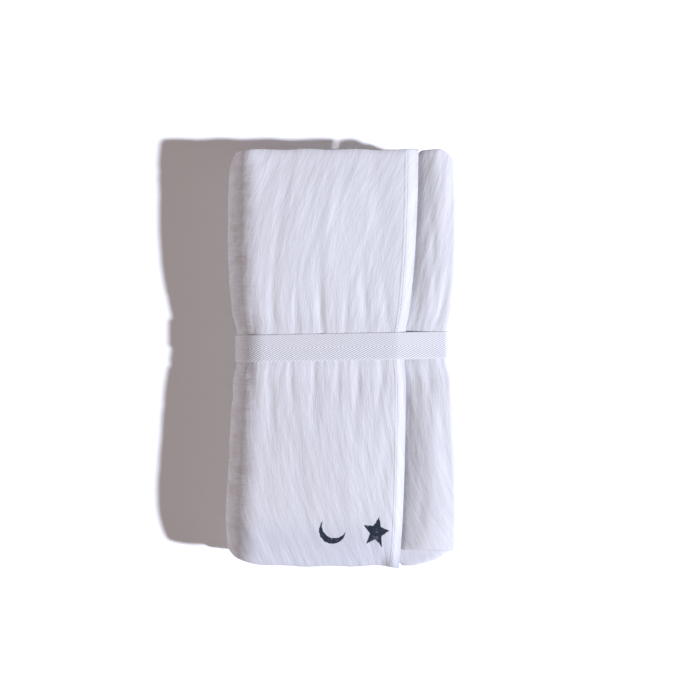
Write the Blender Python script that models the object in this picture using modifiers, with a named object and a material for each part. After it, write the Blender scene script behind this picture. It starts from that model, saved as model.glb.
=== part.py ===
"""Swaddle blanket, folded into a flat bundle and held by a ring of twill tape.

The blanket is a 1.194 m square of cotton muslin. It is folded across into a strip of five plies, 0.25 m
wide, and the strip is folded back and forth into a bundle of nine layers. One solid shows those nine
layers: each layer is the whole thickness of the strip. The outermost layer runs under the stack, round its
left side and over its top, and ends in a valley beside the stack's right-hand folds.

The bundle lies on its back at z = 0 with its length along Y. +X is its right side and +Y its far end.
"""

from collections import namedtuple

import bpy
import numpy as np
from mathutils.geometry import convex_hull_2d

# Driving dimensions, in metres.
BUNDLE_LENGTH = 0.250
LAYER_THICKNESS = 0.0028
LAYER_PITCH = 0.0046
TOP_LAYER = 8

# The small folds and the large wrap are half ellipses on their sides.
FOLD_REACH = 0.0020
TOP_FOLD_REACH = 0.0027
WRAP_REACH = 0.0180
FOLD_STEPS = 5
INNER_FOLD_STEPS = 4
WRAP_STEPS = 10

# Where the strip's two cut ends lie: inside the stack, and in the valley on top of it.
INNER_END_X = -0.0560
OUTER_END_X = 0.0395

# Each fold turns the strip from one layer to another. tip_x is the middle of the strip at the fold's tip.
Fold = namedtuple("Fold", "side leaves enters tip_x reach steps")
FOLDS = (
    Fold("right", 7, 6, 0.0680, TOP_FOLD_REACH, FOLD_STEPS),
    Fold("left", 6, 5, -0.0588, FOLD_REACH, INNER_FOLD_STEPS),
    Fold("right", 5, 4, 0.0652, FOLD_REACH, FOLD_STEPS),
    Fold("left", 4, 3, -0.0638, FOLD_REACH, INNER_FOLD_STEPS),
    Fold("right", 3, 2, 0.0672, FOLD_REACH, FOLD_STEPS),
    Fold("left", 2, 1, -0.0552, FOLD_REACH, INNER_FOLD_STEPS),
    Fold("right", 1, 0, 0.0640, FOLD_REACH, FOLD_STEPS),
    Fold("left", 0, 8, -0.0690, WRAP_REACH, WRAP_STEPS),
)
LAYER_KNOTS_X = (-0.044, -0.016, 0.012, 0.028, 0.036, 0.042, 0.050, 0.059)

# How far short of the bundle's outline each layer ends, at the near (-Y) and far (+Y) end, and how far it
# reaches at most in the roll of folds along the right side.
ROLL_STARTS_X = 0.0360
ROLL_ENDS_WIDTH = 0.0060
LayerEnd = namedtuple("LayerEnd", "layer near far near_roll far_roll")
LAYER_ENDS = (
    LayerEnd(0, 0.003, 0.002, 0.1220, 0.1225),
    LayerEnd(1, 0.0010, 0.004, 0.1225, 0.1215),
    LayerEnd(2, 0.0030, 0.003, 0.1205, 0.1215),
    LayerEnd(3, 0.0010, 0.005, 0.1225, 0.1200),
    LayerEnd(4, 0.0030, 0.002, 0.1240, 0.1225),
    LayerEnd(5, 0.0045, 0.004, 0.1256, 0.1215),
    LayerEnd(6, 0.0090, 0.005, 0.1146, 0.1240),
    LayerEnd(7, 0.0145, 0.007, 0.1142, 0.1246),
    LayerEnd(8, 0.000, 0.000, 0.1250, 0.1250),
)

# The outline seen from above. Ends: how far each end reaches at places across the bundle.
EndOutline = namedtuple("EndOutline", "x near far")
END_OUTLINE = (
    EndOutline(-0.0720, 0.1080, 0.1060),
    EndOutline(-0.0690, 0.1152, 0.1155),
    EndOutline(-0.0660, 0.1188, 0.1224),
    EndOutline(-0.0610, 0.1208, 0.1241),
    EndOutline(-0.0500, 0.1226, 0.1245),
    EndOutline(-0.0180, 0.1238, 0.1247),
    EndOutline(0.0300, 0.1245, 0.1246),
    EndOutline(0.0430, 0.1256, 0.1249),
    EndOutline(0.0510, 0.1236, 0.1249),
    EndOutline(0.0600, 0.1200, 0.1238),
    EndOutline(0.0660, 0.1152, 0.1206),
    EndOutline(0.0720, 0.1072, 0.1142),
)

# Sides: the left and right edges at places along the bundle, drawn in at the tape.
SideOutline = namedtuple("SideOutline", "y left right")
SIDE_OUTLINE = (
    SideOutline(-0.125, -0.0690, 0.0714),
    SideOutline(-0.096, -0.0708, 0.0722),
    SideOutline(-0.060, -0.0690, 0.0710),
    SideOutline(-0.024, -0.0671, 0.0686),
    SideOutline(-0.011, -0.0661, 0.0674),
    SideOutline(-0.004, -0.0643, 0.0653),
    SideOutline(0.018, -0.0643, 0.0653),
    SideOutline(0.026, -0.0667, 0.0673),
    SideOutline(0.038, -0.0681, 0.0688),
    SideOutline(0.090, -0.0696, 0.0702),
    SideOutline(0.125, -0.0682, 0.0686),
)
SECTION_LEFT_X = -0.0705
SECTION_RIGHT_X = 0.0705

# Height of the stack across the bundle, as a share of its full height: slightly crowned.
Crown = namedtuple("Crown", "x height")
CROWN = (
    Crown(-0.070, 0.960),
    Crown(-0.045, 0.982),
    Crown(-0.020, 0.996),
    Crown(0.005, 1.000),
    Crown(0.028, 0.990),
    Crown(0.042, 0.980),
    Crown(0.056, 0.975),
    Crown(0.070, 0.940),
)

# The top loops of the roll puff up beside the valley, and fall off to the right. rise is for the top loop.
Puff = namedtuple("Puff", "x rise")
PUFF = (
    Puff(0.0370, 0.0),
    Puff(0.0405, 0.0004),
    Puff(0.0440, 0.0028),
    Puff(0.0475, 0.0048),
    Puff(0.0510, 0.0049),
    Puff(0.0580, 0.0041),
    Puff(0.0640, 0.0033),
    Puff(0.0700, 0.0026),
)
PUFF_LAYERS = (0, 0.04, 0.10, 0.20, 0.34, 0.52, 0.76, 1.0, 0)
PUFF_FAR = 0.92
PUFF_AT_WAIST = 0.25

# The valley beside the right-hand roll runs slightly askew.
VALLEY_NEAR_X = 0.0355
VALLEY_FAR_X = 0.0490
VALLEY_SECTION_X = 0.0420
VALLEY_SHIFT_WIDTH = 0.0180
VALLEY_WIDTH = 0.0075
VALLEY_SINK = 0.04

# Soft swells and dips in the pile, each fading out over its width and length, as shares of the height.
Swell = namedtuple("Swell", "x y width length rise")
SWELLS = (
    Swell(-0.030, 0.080, 0.022, 0.030, 0.020),
    Swell(0.018, 0.062, 0.018, 0.034, -0.016),
    Swell(-0.008, -0.070, 0.026, 0.030, 0.018),
    Swell(-0.048, -0.040, 0.014, 0.026, -0.020),
    Swell(0.024, -0.104, 0.016, 0.018, 0.016),
    Swell(0.058, -0.060, 0.012, 0.034, 0.022),
    Swell(0.060, 0.070, 0.012, 0.026, -0.018),
)

# Thickness along the bundle: pressed in by the tape and drooping at both ends.
WAIST_Y = 0.007
WAIST_FLAT = 0.0115
WAIST_REACH = 0.0165
WAIST_SINK = 0.10
VALLEY_KEPT_AT_WAIST = 0.35
DROOP_STARTS = 0.80
DROOP_NEAR = 0.04
DROOP_FAR = 0.05
DROOP_REACH = 0.1175
END_SHAPE_STARTS = 0.50

# The top layer rolls down over the near end in a quarter ellipse, and curls down a little at the far end. It
# does so less and less toward the valley.
CURL_NEAR_STARTS = 0.108
CURL_NEAR_LENGTH = 0.0182
CURL_NEAR_DROP = 0.0120
CURL_FAR_STARTS = 0.116
CURL_FAR_DROP = 0.0026
CURL_ENDS_X = 0.040
CURL_FADE = 0.016

STATIONS_Y = (
    -0.1250, -0.1220, -0.1170, -0.1110, -0.1020, -0.0840, -0.0600, -0.0380, -0.0220, -0.0110, -0.0045,
    -0.0030, 0.0170, 0.0185, 0.0250, 0.0380, 0.0620, 0.0950, 0.1150, 0.1215, 0.1250,
)  # fmt: skip

# Tape: a 16 mm twill tape, running round the waist a little askew, in a shallow trough underneath.
TAPE_WIDTH = 0.016
TAPE_THICKNESS = 0.0008
TAPE_GAP = 0.0004
TAPE_TILT = 0.019
TAPE_CORNER_STEPS = 20
TROUGH_DEPTH = 0.00135
TROUGH_FALL = 0.0060


def through(places, values, at):
    """A smooth curve through a table's rows, read at any places, with slopes taken from the rows beside."""
    places, values = np.asarray(places, float), np.asarray(values, float)
    at = np.clip(at, places[0], places[-1])
    slopes = np.gradient(values, places)
    row = np.clip(np.searchsorted(places, at, side="right") - 1, 0, len(places) - 2)
    span = places[row + 1] - places[row]
    t = (at - places[row]) / span
    return (
        values[row] * (1 + 2 * t) * (1 - t) ** 2
        + slopes[row] * span * t * (1 - t) ** 2
        + values[row + 1] * t**2 * (3 - 2 * t)
        + slopes[row + 1] * span * t**2 * (t - 1)
    )


def column(table, name):
    return [getattr(row, name) for row in table]


def smooth_step(t):
    t = np.clip(t, 0, 1)
    return t * t * (3 - 2 * t)


def layer_z(layer):
    """Height of the middle of a layer before the bundle is shaped."""
    return LAYER_THICKNESS / 2 + layer * LAYER_PITCH


def layer_traits(layer):
    """A layer's four ends, 1 for the top layer or 0 for any other, and its share of the puff."""
    row = LAYER_ENDS[layer]
    ends = (row.near, row.far, row.near_roll, row.far_roll)
    return np.array([*ends, layer == TOP_LAYER, PUFF_LAYERS[layer]], float)


def turn(fold):
    """The points of one fold, as (x, z, *traits): half an ellipse on its side."""
    out = 1 if fold.side == "right" else -1
    middle = (layer_z(fold.leaves) + layer_z(fold.enters)) / 2
    half = (layer_z(fold.leaves) - layer_z(fold.enters)) / 2
    points = []
    for step in range(1, fold.steps):
        share = step / fold.steps
        x = fold.tip_x + out * fold.reach * (np.sin(np.pi * share) - 1)
        traits = layer_traits(fold.leaves) * (1 - share) + layer_traits(fold.enters) * share
        points.append((x, middle + half * np.cos(np.pi * share), *traits))
    return points


def run(layer, start_x, end_x):
    """The points of one straight layer, as (x, z, *traits), from start_x to end_x."""
    low, high = sorted((start_x, end_x))
    inner = [x for x in LAYER_KNOTS_X if low + FOLD_REACH < x < high - FOLD_REACH]
    if end_x < start_x:
        inner.reverse()
    return [(x, layer_z(layer), *layer_traits(layer)) for x in (start_x, *inner, end_x)]


def fold_path():
    """The middle of the strip all the way through the bundle: x, z and a row of traits for each point."""
    points, layer, x = [], FOLDS[0].leaves, INNER_END_X
    for fold in FOLDS:
        foot_x = fold.tip_x + (-fold.reach if fold.side == "right" else fold.reach)
        points += run(layer, x, foot_x) + turn(fold)
        layer, x = fold.enters, foot_x
    points = np.array(points + run(layer, x, OUTER_END_X))
    return points[:, 0], points[:, 1], points[:, 2:]


def valley_x(y):
    return VALLEY_NEAR_X + (VALLEY_FAR_X - VALLEY_NEAR_X) * (y / BUNDLE_LENGTH + 0.5)


def waist(y, flat=WAIST_FLAT, reach=WAIST_REACH):
    """1 under the tape, fading to 0 along the bundle on both sides of it."""
    away = np.maximum(np.abs(y - WAIST_Y) - flat, 0) / reach
    return 1 / (1 + away**2)


def outline_reach(x, end):
    """How far the bundle reaches along Y at x, at its near or far end."""
    return through(column(END_OUTLINE, "x"), column(END_OUTLINE, end), x)


def end_y(x, traits, station):
    """How far along Y a point of the strip lies, for its station on the straight strip."""
    near_short, far_short, near_roll, far_roll = traits.T[:4]
    in_roll = smooth_step((x - ROLL_STARTS_X) / ROLL_ENDS_WIDTH)
    reach = {}
    for end, short, furthest in (("near", near_short, near_roll), ("far", far_short, far_roll)):
        body = outline_reach(x, end) - short
        reach[end] = body + in_roll * (np.minimum(outline_reach(x, end), furthest) - body)
    half = BUNDLE_LENGTH / 2
    share = smooth_step((np.abs(station) / half - END_SHAPE_STARTS) / (1 - END_SHAPE_STARTS))
    return station - np.sign(station) * share * (half - np.where(station < 0, reach["near"], reach["far"]))


def height_share(x, y):
    """Height of the pile at a place on its plan, as a share of the full height: the same for every layer."""
    from_valley = x - valley_x(y)
    valley = np.exp(-((from_valley / VALLEY_WIDTH) ** 2)) * (1 - (1 - VALLEY_KEPT_AT_WAIST) * waist(y))
    end_reach = np.where(y < 0, outline_reach(x, "near"), outline_reach(x, "far"))
    toward_end = np.abs(y) / np.maximum(end_reach, DROOP_REACH)
    share = through(column(CROWN, "x"), column(CROWN, "height"), x)
    for swell in SWELLS:
        nearby = np.exp(-(((x - swell.x) / swell.width) ** 2) - ((y - swell.y) / swell.length) ** 2)
        share = share + swell.rise * nearby * (1 - waist(y))
    share = share * (1 - VALLEY_SINK * valley)
    share = share * (1 - WAIST_SINK * waist(y))
    droop = np.where(y < 0, DROOP_NEAR, DROOP_FAR)
    return share * (1 - droop * smooth_step((toward_end - DROOP_STARTS) / (1 - DROOP_STARTS)))


def curl(x, y):
    """How far the top layer's ends roll down at a place on the plan."""
    near = np.clip((-y - CURL_NEAR_STARTS) / CURL_NEAR_LENGTH, 0, 0.99)
    far = np.clip((y - CURL_FAR_STARTS) / (BUNDLE_LENGTH / 2 - CURL_FAR_STARTS), 0, 1)
    rolled = CURL_NEAR_DROP * (1 - np.sqrt(1 - near**2)) + CURL_FAR_DROP * far**2
    return rolled * smooth_step((CURL_ENDS_X - x) / CURL_FADE)


def puff(x, y, layer_share):
    """How far a layer of the roll puffs up: more at the near end, and little under the tape."""
    kept = (1 + (PUFF_FAR - 1) * (y / BUNDLE_LENGTH + 0.5)) * (1 - (1 - PUFF_AT_WAIST) * waist(y))
    return through(column(PUFF, "x"), column(PUFF, "rise"), x) * layer_share * kept


def shaped(x, z, traits, station):
    """Points of the straight strip moved to where they lie in the bundle: x, y, z arrays."""
    y = end_y(x, traits, station)
    near_valley = np.exp(-(((x - VALLEY_SECTION_X) / VALLEY_SHIFT_WIDTH) ** 2))
    skewed = x + (valley_x(y) - VALLEY_SECTION_X) * near_valley
    sides = column(SIDE_OUTLINE, "y")
    narrowed_left = through(sides, column(SIDE_OUTLINE, "left"), y) / SECTION_LEFT_X
    narrowed_right = through(sides, column(SIDE_OUTLINE, "right"), y) / SECTION_RIGHT_X
    trough = TROUGH_DEPTH * waist(y, WAIST_FLAT, TROUGH_FALL)
    puffed = z + puff(x, y, traits[:, 5])
    stacked = layer_z(0) + trough + (puffed - layer_z(0)) * height_share(skewed, y)
    placed_z = stacked - curl(x, y) * traits[:, 4] ** 1.5
    return np.where(skewed < 0, skewed * narrowed_left, skewed * narrowed_right), y, placed_z


def clear_scene():
    for obj in list(bpy.data.objects):
        bpy.data.objects.remove(obj)


def material(name, colour, roughness):
    made = bpy.data.materials.new(name)
    made.use_nodes = True
    shader = made.node_tree.nodes["Principled BSDF"]
    shader.inputs["Base Color"].default_value = (*colour, 1)
    shader.inputs["Roughness"].default_value = roughness
    shader.inputs["Metallic"].default_value = 0
    return made


def thicken(obj, thickness):
    solidify = obj.modifiers.new("thickness", "SOLIDIFY")
    solidify.thickness = thickness
    solidify.offset = 0
    solidify.use_even_offset = True


def finish(obj, name, thickness, finish_material, collection):
    obj.name = name
    obj.data.name = name
    thicken(obj, thickness)
    obj.data.materials.append(finish_material)
    for other in list(obj.users_collection):
        other.objects.unlink(obj)
    collection.objects.link(obj)


def folded_blanket():
    """The strip as a flat grid, a column for each station and a row for each path point, then folded."""
    path_x, path_z, path_traits = fold_path()
    stations = np.array(STATIONS_Y)
    bpy.ops.mesh.primitive_grid_add(x_subdivisions=len(stations) - 1, y_subdivisions=len(path_x) - 1, size=2)
    blanket = bpy.context.object
    flat = np.array([point.co for point in blanket.data.vertices])
    at_station = np.rint((flat[:, 0] + 1) / 2 * (len(stations) - 1)).astype(int)
    at_path = np.rint((flat[:, 1] + 1) / 2 * (len(path_x) - 1)).astype(int)
    x, y, z = shaped(path_x[at_path], path_z[at_path], path_traits[at_path], stations[at_station])
    blanket.data.vertices.foreach_set("co", np.stack([x, y, z], axis=1).ravel())
    return blanket


def tape_route():
    """The corners of a taut loop round the outside of every layer at the waist, as arrays x, z."""
    out = LAYER_THICKNESS / 2 + TAPE_GAP + TAPE_THICKNESS / 2
    turns = 2 * np.pi * np.arange(TAPE_CORNER_STEPS) / TAPE_CORNER_STEPS
    around = []
    for station in STATIONS_Y:
        if abs(station - WAIST_Y) <= WAIST_FLAT:
            path_x, path_z, path_traits = fold_path()
            x, _, z = shaped(path_x, path_z, path_traits, np.full(len(path_x), station))
            around += [(a + out * np.cos(t), b + out * np.sin(t)) for a, b in zip(x, z) for t in turns]
    return np.array([around[corner] for corner in convex_hull_2d(around)]).T


def tie_tape():
    """An open tube with one side for each corner of the route, moved onto the route."""
    route_x, route_z = tape_route()
    count = len(route_x)
    bpy.ops.mesh.primitive_cylinder_add(vertices=count, radius=1, depth=2, end_fill_type="NOTHING")
    tape = bpy.context.object
    tube = np.array([point.co for point in tape.data.vertices])
    angle = np.arctan2(tube[:, 1], tube[:, 0])
    corner = np.rint((angle - angle[0]) / (2 * np.pi) * count).astype(int) % count
    x, z = route_x[corner], route_z[corner]
    y = WAIST_Y + TAPE_TILT * x + tube[:, 2] * TAPE_WIDTH / 2
    tape.data.vertices.foreach_set("co", np.stack([x, y, z], axis=1).ravel())
    return tape


def main():
    clear_scene()
    collection = bpy.data.collections.new("folded swaddle blanket")
    bpy.context.scene.collection.children.link(collection)
    muslin = material("white cotton muslin", (0.80, 0.80, 0.86), 0.9)
    twill = material("white cotton twill tape", (0.82, 0.82, 0.88), 0.8)
    finish(folded_blanket(), "swaddle", LAYER_THICKNESS, muslin, collection)
    finish(tie_tape(), "tie_tape", TAPE_THICKNESS, twill, collection)


main()
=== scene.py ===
# %% [markdown]
# # A folded swaddle blanket, tied with tape
#
# The object is a white muslin baby blanket. Opened out it is a square, 1.194 m on a side. It is folded into a
# bundle about the size of a book, and a ring of white twill tape holds it round the waist. This file starts
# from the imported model, replaces both of its plain solids with detailed cloth, and gives each its finish.

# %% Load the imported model
from collections import namedtuple

import bpy
import numpy as np
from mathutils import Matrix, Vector, noise
from mathutils.geometry import convex_hull_2d


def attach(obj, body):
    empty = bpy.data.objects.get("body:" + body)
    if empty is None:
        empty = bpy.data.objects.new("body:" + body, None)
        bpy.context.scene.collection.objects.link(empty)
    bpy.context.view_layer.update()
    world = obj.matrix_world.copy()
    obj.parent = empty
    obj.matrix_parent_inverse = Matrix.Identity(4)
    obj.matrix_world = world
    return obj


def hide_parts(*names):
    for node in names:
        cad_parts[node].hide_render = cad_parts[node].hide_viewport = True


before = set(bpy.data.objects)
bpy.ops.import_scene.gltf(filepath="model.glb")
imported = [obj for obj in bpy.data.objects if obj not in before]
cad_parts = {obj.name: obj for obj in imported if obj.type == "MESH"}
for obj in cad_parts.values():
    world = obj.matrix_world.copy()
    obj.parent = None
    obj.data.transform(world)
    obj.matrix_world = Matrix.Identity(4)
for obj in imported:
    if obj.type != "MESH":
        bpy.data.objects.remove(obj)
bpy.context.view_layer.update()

MM = 0.001
print("packed nodes:", sorted(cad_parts))

# %% [markdown]
# ## Floor, lights and camera
#
# The bundle lies on a pale floor and is seen from straight above. One sun stands low on the right, so that
# every crinkle throws a small shade, and the side of the bundle away from it falls into shadow. The world
# gives a soft warm fill, and a low weak panel lifts the shaded side. A sun was chosen for the key because its
# light is even across the whole floor.

# %% Floor
FLOOR_SIZE = 6


def plain_material(name, colour, roughness):
    made = bpy.data.materials.new(name)
    made.use_nodes = True
    shader = made.node_tree.nodes["Principled BSDF"]
    shader.inputs["Base Color"].default_value = (*colour, 1)
    shader.inputs["Roughness"].default_value = roughness
    shader.inputs["Specular IOR Level"].default_value = 0.2
    return made


bpy.ops.object.select_all(action="DESELECT")
bpy.ops.mesh.primitive_plane_add(size=FLOOR_SIZE, location=(0, 0, 0))
floor = bpy.context.object
floor.name = "floor"
floor.data.materials.append(plain_material("pale floor", (0.98, 0.98, 0.98), 0.9))
print("floor", FLOOR_SIZE, "m across")

# %% [markdown]
# The sun's direction sets where the shadow falls, and its small angle keeps the shadow's edge fairly sharp.
# It is a little blue and the world a little warm, so the lit cloth looks cool and the shaded side warm.

# %% Lights
scene = bpy.context.scene
scene.view_settings.view_transform = "Standard"

KEY_DIRECTION = Vector((1.50, -0.29, 1.0))  # from the bundle towards the light
bpy.ops.object.light_add(type="SUN", location=KEY_DIRECTION)
key = bpy.context.object
key.name = "key"
key.rotation_euler = KEY_DIRECTION.to_track_quat("Z", "Y").to_euler()
key.data.energy = 5.55
key.data.angle = 0.045
key.data.color = (0.81, 0.86, 1.0)

PANEL_PLACE = Vector((-1.0, 0.0, 0.12))
bpy.ops.object.light_add(type="AREA", location=PANEL_PLACE)
panel = bpy.context.object
panel.name = "left panel"
panel.rotation_euler = PANEL_PLACE.to_track_quat("Z", "Y").to_euler()
panel.data.shape = "RECTANGLE"
panel.data.size = 1.0
panel.data.size_y = 0.2
panel.data.energy = 2.7
panel.data.color = (1.0, 0.94, 0.97)

world = bpy.data.worlds.new("studio fill")
world.use_nodes = True
world.node_tree.nodes["Background"].inputs["Color"].default_value = (1.0, 0.85, 0.84, 1)
world.node_tree.nodes["Background"].inputs["Strength"].default_value = 0.275
scene.world = world
print("lights:", key.name, panel.name, world.name)

# %% [markdown]
# The camera looks straight down through a long lens, which keeps the sides of the bundle nearly upright.

# %% Camera
CAMERA_HEIGHT = 1.138
CAMERA_ASIDE = Vector((0.0044, 0.0052))
bpy.ops.object.camera_add(location=(CAMERA_ASIDE.x, CAMERA_ASIDE.y, CAMERA_HEIGHT), rotation=(0, 0, 0))
camera = bpy.context.object
camera.data.lens = 95.1
camera.data.sensor_width = 36
scene.camera = camera
print("camera", round(CAMERA_HEIGHT, 3), "m above the floor")

# %% [markdown]
# ## How the blanket is folded
#
# First the square is folded across, like a flat roll, into a strip of five plies about 0.25 m wide. Then the
# strip is folded back and forth into nine layers. Eight of them lie inside. The ninth comes out from under
# the stack, round its left side in one big wrap, and over the top, and its hemmed edge ends in a valley
# beside the folds on the right. The strip is described by its middle line in a cut through the bundle: flat
# runs joined by half ellipses. A table of folds says where each one lies, so that no two are quite in line.

# %% Table of the folds
CUT = 1.194
BUNDLE_LENGTH = 0.250
HALF_LENGTH = BUNDLE_LENGTH / 2
STRIP_THICKNESS = 0.0028
LAYER_PITCH = 0.0046
TOP_LAYER = 8
FOLD_REACH = 0.0020
TOP_FOLD_REACH = 0.0027
WRAP_REACH = 0.0180
INNER_END_X = -0.0560
OUTER_END_X = 0.0395

Fold = namedtuple("Fold", "side leaves enters tip_x reach steps")
FOLDS = (
    Fold("right", 7, 6, 0.0680, TOP_FOLD_REACH, 8),
    Fold("left", 6, 5, -0.0588, FOLD_REACH, 4),
    Fold("right", 5, 4, 0.0652, FOLD_REACH, 6),
    Fold("left", 4, 3, -0.0638, FOLD_REACH, 4),
    Fold("right", 3, 2, 0.0672, FOLD_REACH, 6),
    Fold("left", 2, 1, -0.0552, FOLD_REACH, 4),
    Fold("right", 1, 0, 0.0640, FOLD_REACH, 6),
    Fold("left", 0, 8, -0.0690, WRAP_REACH, 30),
)
HIDDEN_KNOTS_X = (-0.046, -0.024, 0.000, 0.020, 0.030, 0.036, 0.042, 0.048, 0.057)
ROLL_TOP_X = 0.0340
ROLL_STEP = 0.0008
FACE_STEP = 0.0010
print("folds:", len(FOLDS))

# %% [markdown]
# Layers of a folded bundle never end in one line, so each has its own ends.

# %% Table of the layers' ends
# How far short of the bundle's outline each layer ends, and how far it reaches at most in the roll.
LayerEnd = namedtuple("LayerEnd", "layer near far near_roll far_roll")
LAYER_ENDS = (
    LayerEnd(0, 0.003, 0.002, 0.1220, 0.1225),
    LayerEnd(1, 0.0010, 0.004, 0.1225, 0.1215),
    LayerEnd(2, 0.0030, 0.003, 0.1205, 0.1215),
    LayerEnd(3, 0.0010, 0.005, 0.1225, 0.1200),
    LayerEnd(4, 0.0030, 0.002, 0.1240, 0.1225),
    LayerEnd(5, 0.0045, 0.004, 0.1256, 0.1215),
    LayerEnd(6, 0.0090, 0.005, 0.1146, 0.1240),
    LayerEnd(7, 0.0145, 0.007, 0.1142, 0.1246),
    LayerEnd(8, 0.000, 0.000, 0.1250, 0.1250),
)

# How much each layer shares in the puff of the roll's top loops, from the lowest layer up.
PUFF_LAYERS = (0, 0.02, 0.06, 0.12, 0.20, 0.32, 0.52, 1.0, 0)
print("layers:", len(LAYER_ENDS))

# %% [markdown]
# With both tables the strip can be followed from its inner end to its free edge, run by run and fold by fold.

# %% Follow the strip through its folds
# What a point of the strip carries besides its place: the four numbers of its layer's end, and these two.
IS_TOP, PUFF_SHARE = 4, 5


def layer_z(layer):
    return STRIP_THICKNESS / 2 + layer * LAYER_PITCH


def layer_traits(layer):
    """What every point of a layer carries: where the layer ends, whether it is the top one, and its puff."""
    row = LAYER_ENDS[layer]
    ends = [row.near, row.far, row.near_roll, row.far_roll]
    return np.array([*ends, layer == TOP_LAYER, PUFF_LAYERS[layer]], float)


def turn(fold):
    """The points of one fold, a half ellipse from the layer that it leaves to the one that it enters."""
    out = 1 if fold.side == "right" else -1
    middle = (layer_z(fold.leaves) + layer_z(fold.enters)) / 2
    half = (layer_z(fold.leaves) - layer_z(fold.enters)) / 2
    points = []
    for step in range(1, fold.steps):
        share = step / fold.steps
        x = fold.tip_x + out * fold.reach * (np.sin(np.pi * share) - 1)
        traits = layer_traits(fold.leaves) * (1 - share) + layer_traits(fold.enters) * share
        points.append((x, middle + half * np.cos(np.pi * share), *traits))
    return points


def run(layer, start_x, end_x):
    """The points of one flat run, close together on the face and the roll and sparse where it is hidden."""
    low, high = sorted((start_x, end_x))
    inner = [x for x in HIDDEN_KNOTS_X if low + FOLD_REACH < x < high - FOLD_REACH]
    if layer == TOP_LAYER:
        inner = list(np.arange(start_x + FACE_STEP, end_x - FACE_STEP / 2, FACE_STEP))
    if layer == TOP_LAYER - 1:
        on_roll = list(np.arange(ROLL_TOP_X, end_x - ROLL_STEP / 2, ROLL_STEP))
        inner = [x for x in inner if x < ROLL_TOP_X] + on_roll
    if end_x < start_x:
        inner.reverse()
    return [(x, layer_z(layer), *layer_traits(layer)) for x in (start_x, *inner, end_x)]


def fold_path():
    """The strip's middle line from its inner end to its free edge, as x, z and what each point carries."""
    points, layer, x = [], FOLDS[0].leaves, INNER_END_X
    for fold in FOLDS:
        foot_x = fold.tip_x - (fold.reach if fold.side == "right" else -fold.reach)
        points += run(layer, x, foot_x) + turn(fold)
        layer, x = fold.enters, foot_x
    points = np.array(points + run(layer, x, OUTER_END_X))
    return points[:, 0], points[:, 1], points[:, 2:]


path_x, path_z, path_traits = fold_path()
path_s = np.concatenate([[0], np.cumsum(np.hypot(np.diff(path_x), np.diff(path_z)))])
print(f"the strip has {len(path_x)} points in its cut and is {path_s[-1]:.3f} m long, for a {CUT} m cloth")

# %% [markdown]
# ## The bundle's outline and height
#
# A folded blanket is never a box. The tape draws in its waist, its ends droop, its corners are round, and a
# valley runs a little askew beside the roll on the right. Each of these is a short table or a smooth bump,
# and together they move a point of the straight strip to where it lies. All nine layers share the same
# heights at the same place, so they keep their spacing and never cut through one another.

# %% Outline of the bundle from above
EndOutline = namedtuple("EndOutline", "x near far")
END_OUTLINE = (
    EndOutline(-0.0720, 0.1080, 0.1060),
    EndOutline(-0.0690, 0.1152, 0.1155),
    EndOutline(-0.0660, 0.1188, 0.1224),
    EndOutline(-0.0610, 0.1208, 0.1241),
    EndOutline(-0.0500, 0.1226, 0.1245),
    EndOutline(-0.0180, 0.1238, 0.1247),
    EndOutline(0.0300, 0.1237, 0.1246),
    EndOutline(0.0430, 0.1245, 0.1249),
    EndOutline(0.0510, 0.1236, 0.1249),
    EndOutline(0.0600, 0.1200, 0.1238),
    EndOutline(0.0660, 0.1152, 0.1206),
    EndOutline(0.0720, 0.1072, 0.1142),
)
SideOutline = namedtuple("SideOutline", "y left right")
SIDE_OUTLINE = (
    SideOutline(-0.125, -0.0690, 0.0714),
    SideOutline(-0.096, -0.0708, 0.0722),
    SideOutline(-0.060, -0.0690, 0.0710),
    SideOutline(-0.024, -0.0671, 0.0686),
    SideOutline(-0.011, -0.0661, 0.0674),
    SideOutline(-0.004, -0.0643, 0.0653),
    SideOutline(0.018, -0.0643, 0.0653),
    SideOutline(0.026, -0.0667, 0.0673),
    SideOutline(0.038, -0.0681, 0.0688),
    SideOutline(0.090, -0.0696, 0.0702),
    SideOutline(0.125, -0.0682, 0.0686),
)
SECTION_LEFT_X = -0.0705
SECTION_RIGHT_X = 0.0705


def through(places, values, at):
    """A smooth curve through a table's rows, read at any places."""
    places, values = np.asarray(places, float), np.asarray(values, float)
    at = np.clip(at, places[0], places[-1])
    slopes = np.gradient(values, places)
    row = np.clip(np.searchsorted(places, at, side="right") - 1, 0, len(places) - 2)
    span = places[row + 1] - places[row]
    t = (at - places[row]) / span
    return (
        values[row] * (1 + 2 * t) * (1 - t) ** 2
        + slopes[row] * span * t * (1 - t) ** 2
        + values[row + 1] * t**2 * (3 - 2 * t)
        + slopes[row + 1] * span * t**2 * (t - 1)
    )


def column(table, name):
    return [getattr(row, name) for row in table]


def smooth_step(t):
    """0 up to 0 and 1 from 1, with a smooth rise between."""
    t = np.clip(t, 0, 1)
    return t * t * (3 - 2 * t)


def outline_reach(x, end):
    """How far the bundle reaches towards one of its ends."""
    return through(column(END_OUTLINE, "x"), column(END_OUTLINE, end), x)


reach_far = float(outline_reach(0.0, "far"))
print(f"the far end lies {reach_far * 1000:.1f} mm from the middle")

# %% [markdown]
# Seen from the side, the bundle is a little lower at its edges than in the middle, pinched at the tape, and
# lower at both ends, and the valley is a soft groove in it. Every one of these is a share of the full height.

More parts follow.
